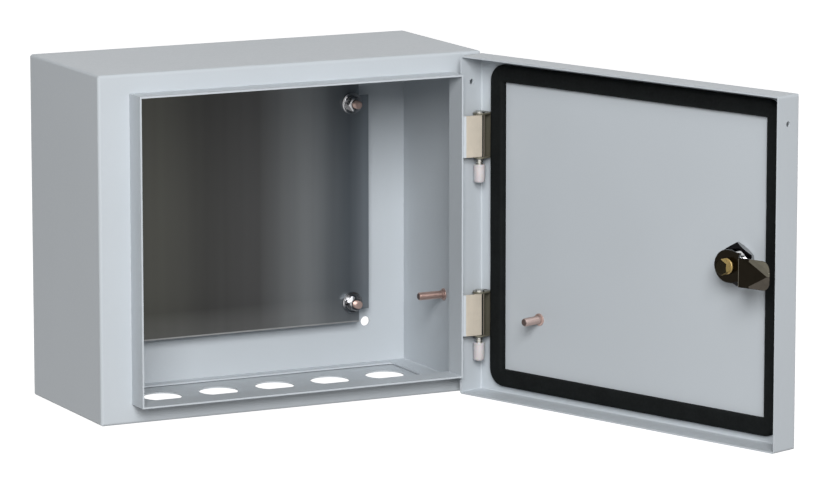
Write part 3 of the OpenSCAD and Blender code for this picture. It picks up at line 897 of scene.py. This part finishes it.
# The threaded barrel through the door, with its two flats
n = 64
steps = int((BARREL_OUT - BARREL_BACK) * 8)
rings = []
for k in range(steps + 1):
    z = BARREL_BACK + (BARREL_OUT - 0.05 - BARREL_BACK) * k / steps
    ring = []
    for i in range(n):
        r = BARREL_R - thread_cut(z, 1.0, 0.5, i / n) - max(0.0, z - (BARREL_OUT - 0.9)) * 0.9
        x, y = r * math.cos(TAU * i / n), r * math.sin(TAU * i / n)
        ring.append((x, max(-BARREL_FLAT, min(BARREL_FLAT, y)), z))
    rings.append(ring)
rings.append(circle(7.6, BARREL_OUT - 0.05, n))
rings.append(circle(BARREL_BORE_R, BARREL_OUT - 0.6, n))
rings.append(circle(BARREL_BORE_R, BARREL_BACK, n))
s.join(rings, LOCK)
s.piece("threaded_lock_housing", "door", chrome, replaces=["lock_housing"])


def faces_cabinet(least):
    """Chooses faces of the lock that look into the cabinet; least is the cosine of their tilt."""
    axis = LOCK.to_3x3() @ Vector((0, 0, 1))
    return lambda face: face.normal.dot(axis) > least


s = Shape()
hex_body(s, LOCK @ rot("Z", 90), 27, 4.7, BARREL_R + 0.05, n=144, cut=0.96)
nut = s.piece("chamfered_lock_nut", "door", nut_chrome, replaces=["lock_nut"])
# Painted dark reflection on the faces that look into the cabinet
recoat(nut, nut_dark_reflection, faces_cabinet(0.7))

# The core: a key pin with two bits in a round well, and a square shank
s = Shape()
bottom = WELL + 6
section = [(5.6, bottom), (5.6, WELL), (CORE_R, WELL), (CORE_R, BARREL_OUT), (3.05, BARREL_OUT)]
section += [(3.05, BARREL_OUT - 2), (0.0, BARREL_OUT - 2)]
s.lathe(round_corner(section, 0.25) + [(0.0, bottom), (5.6, bottom)], LOCK)
key_r, bit_reach, bit_half = 2.0, 4.5, 0.9
outline = []
for a in range(0, 360, 6):
    c, si = math.cos(math.radians(a)), math.sin(math.radians(a))
    if abs(si) * bit_reach < bit_half and abs(c) > 0.3:
        outline.append((bit_reach * c, bit_reach * si))
    else:
        outline.append((key_r * c, key_r * si))
s.prism(outline, WELL, bottom + 0.1, LOCK, edge=0.2)
shank = [(-4, -4), (4, -4), (4, 4), (-4, 4)]
s.prism(shank, BARREL_OUT - 0.02, BARREL_OUT + CAM_T, LOCK, edge=0.15)
s.piece("double_bit_core", "cam", chrome, replaces=["lock_core"])


def cam():
    """The cranked cam as a bent strip with eased edges; x runs from its tip to its root."""
    half_root, half_arm = 11.55, 10.25
    neck_start, neck_end = -4, -8
    bend_start, bend_end = -11.3, -21.7
    z_arm = DOOR_DEPTH + DOOR_STANDOFF + 0.4
    tip_start = -(CAM_REACH - CAM_TIP_R)
    coin_len, coin_depth = 18.5, 1.0
    edge = 0.35

    def height(x):
        """Height of the cam's door side at x, along the strip."""
        k = (bend_start - x) / (bend_start - bend_end)
        return BARREL_OUT + (z_arm - BARREL_OUT) * max(0.0, min(1.0, k))

    def half(x):
        """Half width at x."""
        if x > 0:
            return math.sqrt(max(0.0, half_root**2 - x**2))
        if x > neck_start:
            return half_root
        if x > neck_end:
            return half_root + (half_arm - half_root) * (neck_start - x) / (neck_start - neck_end)
        if x < tip_start:
            return half_arm - CAM_TIP_R + math.sqrt(max(0.0, CAM_TIP_R**2 - (tip_start - x) ** 2))
        return half_arm

    def spread(x, w):
        """Rows across the strip at x, with one on each side where the tip's coined edges begin."""
        near = max(0.0, min(1.0, (CAM_REACH - 0.6 + x) / coin_len))
        r = max(0.02, 0.97 * near)
        side = [r * q / 3 for q in range(4)] + [r + (1 - r) * q / 3 for q in (1, 2, 3)]
        return [-f for f in side[:0:-1]] + side, r * w

    def coined(x, y, ridge):
        """How far the tip's cabinet side is pressed down at a point outside its ridge."""
        if -x < CAM_REACH - coin_len:
            return 0.0
        return min(coin_depth, 0.45 * max(0.0, abs(y) - ridge))

    xs = [half_root * math.cos(math.radians(a)) for a in range(0, 90, 6)]
    xs += [0, -2, -4, -5, -6, -7, -8, -9.5, -10.9, -11.3, -11.7]
    xs += [-14, -17, -20, -21.3, -21.7, -22.1, -26, -31, -36, -40]
    xs += [tip_start - CAM_TIP_R * math.sin(math.radians(a)) for a in range(0, 91, 9)]
    nx, rows = len(xs), 13

    # The two faces
    verts, faces = [], []
    for layer in (0, 1):
        for x in xs:
            w = max(0.02, half(x) - (edge if layer else edge * 0.6))
            across, ridge = spread(x, w)
            for f in across:
                y = w * f
                verts.append((x, y, height(x) + (CAM_T - coined(x, y, ridge) if layer else 0)))
        for i in range(nx - 1):
            for k in range(rows - 1):
                a = (layer * nx + i) * rows + k
                b = a + rows
                faces.append([a, a + 1, b + 1, b])

    # The rim: two middle lines that stand proud of the faces
    border = [i * rows for i in range(nx)] + [(nx - 1) * rows + k for k in range(1, rows)]
    border += [i * rows + rows - 1 for i in range(nx - 2, -1, -1)]
    border += [k for k in range(rows - 2, 0, -1)]
    rim = []
    for i, k in (divmod(b, rows) for b in border):
        x = xs[i]
        w = max(0.02, half(x))
        across, ridge = spread(x, w)
        rim.append((x, w * across[k], coined(x, w * across[k], ridge)))
    base = len(verts)
    verts += [(x, y, height(x) + edge) for x, y, drop in rim]
    verts += [(x, y, height(x) + CAM_T - edge - drop) for x, y, drop in rim]
    nb = len(border)
    top = nx * rows
    for j in range(nb):
        q = (j + 1) % nb
        faces.append([border[j], border[q], base + q, base + j])
        faces.append([base + j, base + q, base + nb + q, base + nb + j])
        faces.append([base + nb + j, base + nb + q, top + border[q], top + border[j]])

    s = Shape()
    s.add(verts, faces, LOCK)
    obj = s.piece("cranked_cam", "cam", cam_zinc_dark_reflection, sharp=24, replaces=["lock_cam"])
    to_lock = LOCK.inverted()

    def painted_highlight(face):
        """True on the coined flanks of the tip and along the outside of the bend: painted highlight.
        """
        x, y, z = (to_lock @ face.center) / MM
        ridge = spread(x, half(x))[1]
        on_flank = -x > CAM_REACH - coin_len and abs(y) > ridge
        flank = on_flank and z > z_arm + (CAM_T - coin_depth) / 2
        on_bend = abs(x - bend_end) < 0.4 and abs(y) < half(x) - 0.5
        return flank or (on_bend and z > height(x) + CAM_T / 2)

    def brightest_highlight(face):
        """The flank that meets the frame first and the outside of the bend: brightest painted
        highlight.
        """
        x, y, z = (to_lock @ face.center) / MM
        return painted_highlight(face) and (y < 0 or -x < 30)

    # Painted highlights: lighter zinc on the tip's flanks and the bend, brightest on the upper side
    recoat(obj, cam_painted_highlight, painted_highlight)
    recoat(obj, cam_bright_highlight, brightest_highlight)


cam()

washer_z = BARREL_OUT + CAM_T
screw_z = washer_z + CAM_WASHER_T

s = Shape()
split_washer(s, LOCK @ at(0, 0, washer_z), 5.6, M6_BORE_R, CAM_WASHER_T, lift=0.1)
s.piece("cam_split_washer", "cam", brass, replaces=["cam_spring_washer"])

s = Shape()
hex_body(s, LOCK @ at(0, 0, screw_z, rot("Z", 91)), 10, CAM_SCREW_HEAD)
low, high = BARREL_OUT - 1, screw_z + 0.1
s.lathe([(0, low), (M6_R, low), (M6_R, high), (0, high)], LOCK, 32)
screw = s.piece("brass_screw", "cam", brass, replaces=["cam_screw"])
# Painted shade on the faces that look into the cabinet
recoat(screw, brass_top_shade, faces_cabinet(0.5))

# ---- floor, light and camera ----

STAGE_Z = -0.36
FLOOR_SIZE = 30


def stage_plane(name, size, z, material):
    """A flat square on the stage, in metres, which is no piece of the part."""
    mesh = bpy.data.meshes.new(name)
    h = size / 2
    mesh.from_pydata([(-h, -h, z), (h, -h, z), (h, h, z), (-h, h, z)], [], [(0, 1, 2, 3)])
    obj = bpy.data.objects.new(name, mesh)
    bpy.context.scene.collection.objects.link(obj)
    mesh.materials.append(material)


def direct_rays(tree):
    """1 for rays from the camera, off a polished surface or through one, and 0 for the others."""
    path = tree.nodes.new("ShaderNodeLightPath")
    result = path.outputs["Is Camera Ray"]
    for kind in ("Is Glossy Ray", "Is Transmission Ray"):
        either = tree.nodes.new("ShaderNodeMath")
        either.operation = "MAXIMUM"
        tree.links.new(result, either.inputs[0])
        tree.links.new(path.outputs[kind], either.inputs[1])
        result = either.outputs[0]
    return result


# The floor looks white but lights the part no more than grey paint does
m = bpy.data.materials.new("floor_pale")
m.use_nodes = True
tree = m.node_tree
tree.nodes.clear()
out = tree.nodes.new("ShaderNodeOutputMaterial")
diffuse = tree.nodes.new("ShaderNodeBsdfDiffuse")
diffuse.inputs["Color"].default_value = (0.36, 0.36, 0.36, 1)
glow = tree.nodes.new("ShaderNodeEmission")
add = tree.nodes.new("ShaderNodeAddShader")
tree.links.new(direct_rays(tree), glow.inputs["Strength"])
tree.links.new(diffuse.outputs[0], add.inputs[0])
tree.links.new(glow.outputs[0], add.inputs[1])
tree.links.new(add.outputs[0], out.inputs["Surface"])
stage_plane("floor", FLOOR_SIZE, STAGE_Z, m)

# The same for the world round it
world = bpy.data.worlds.new("studio")
bpy.context.scene.world = world
world.use_nodes = True
tree = world.node_tree
tree.nodes.clear()
out = tree.nodes.new("ShaderNodeOutputWorld")
mix = tree.nodes.new("ShaderNodeMixShader")
tree.links.new(direct_rays(tree), mix.inputs[0])
for socket, strength in ((1, 0.14), (2, 1.0)):
    sky = tree.nodes.new("ShaderNodeBackground")
    sky.inputs["Color"].default_value = (1, 1, 1, 1)
    sky.inputs["Strength"].default_value = strength
    tree.links.new(sky.outputs[0], mix.inputs[socket])
tree.links.new(mix.outputs[0], out.inputs["Surface"])


def area(name, place, aim, size, level):
    """A square lamp that adds about level to a surface facing it at the object."""
    place, aim = Vector(place), Vector(aim)
    data = bpy.data.lights.new(name, "AREA")
    data.shape = "SQUARE"
    data.size = size
    data.energy = level * math.pi**2 * (place - aim).length ** 2
    obj = bpy.data.objects.new(name, data)
    bpy.context.scene.collection.objects.link(obj)
    obj.location = place
    obj.rotation_mode = "QUATERNION"
    obj.rotation_quaternion = (place - aim).to_track_quat("Z", "Y")


aim = Vector((0.05, -0.12, 0.0))
area("front_key", (-1.20, -3.00, 1.55), aim, 1.6, 1.04)
area("top_fill", (0.0, -0.3, 2.6), aim, 1.6, 0.05)

# The photograph's viewing angle, fitted to its straight edges
target = Vector((96.84, FRONT_Y, -11.94)) * MM
azimuth, elevation, distance = math.radians(-26.39), math.radians(9.88), 3.6143
level = math.cos(elevation)
back = Vector((math.sin(azimuth) * level, -math.cos(azimuth) * level, math.sin(elevation)))
data = bpy.data.cameras.new("camera")
data.sensor_width = 36.0
data.lens = 216.8
data.clip_start, data.clip_end = 0.1, 60
camera = bpy.data.objects.new("camera", data)
bpy.context.scene.collection.objects.link(camera)
camera.location = target + back * distance
camera.rotation_mode = "QUATERNION"
camera.rotation_quaternion = back.to_track_quat("Z", "Y")
bpy.context.scene.camera = camera
bpy.context.scene.view_settings.view_transform = "Standard"
